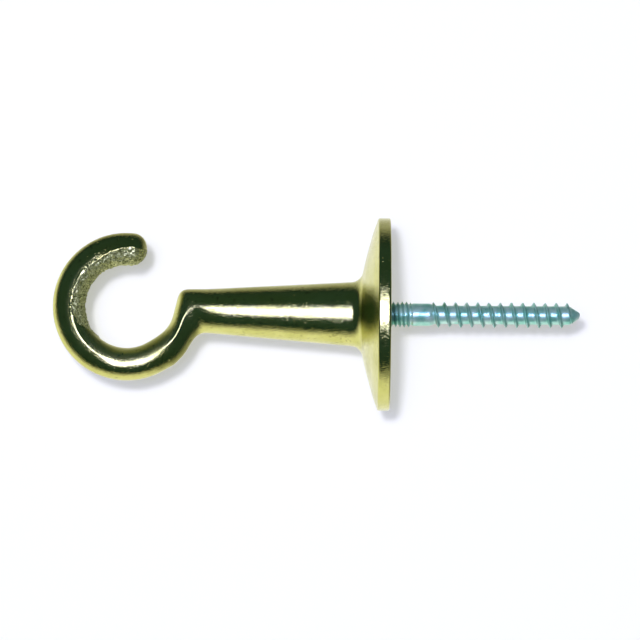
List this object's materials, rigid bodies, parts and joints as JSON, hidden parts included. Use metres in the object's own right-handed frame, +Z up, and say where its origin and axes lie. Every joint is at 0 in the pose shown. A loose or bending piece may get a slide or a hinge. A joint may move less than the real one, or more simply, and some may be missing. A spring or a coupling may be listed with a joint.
{
  "type": "rope wall hook",
  "caption": "Open ring hook for rope on a tapered stem with a flared wall rose, cast in one, with a screw-in hanger screw at its back.",
  "frame": {"origin": "middle of the rose's flat wall face, on the screw's axis", "axes": "+X into the wall along the screw, +Z up through the hook's open mouth, Y across the hook"},
  "size_m": [0.1226, 0.0448, 0.0448],
  "materials": {
    "polished_brass": "polished, left as cast on the inside of the ring",
    "zinc_plated_steel": "bright blue zinc plate over rolled steel threads"
  },
  "bodies": {
    "root": {"hook_casting": "polished_brass", "hanger_screw": "zinc_plated_steel"}
  },
  "joints": []
}
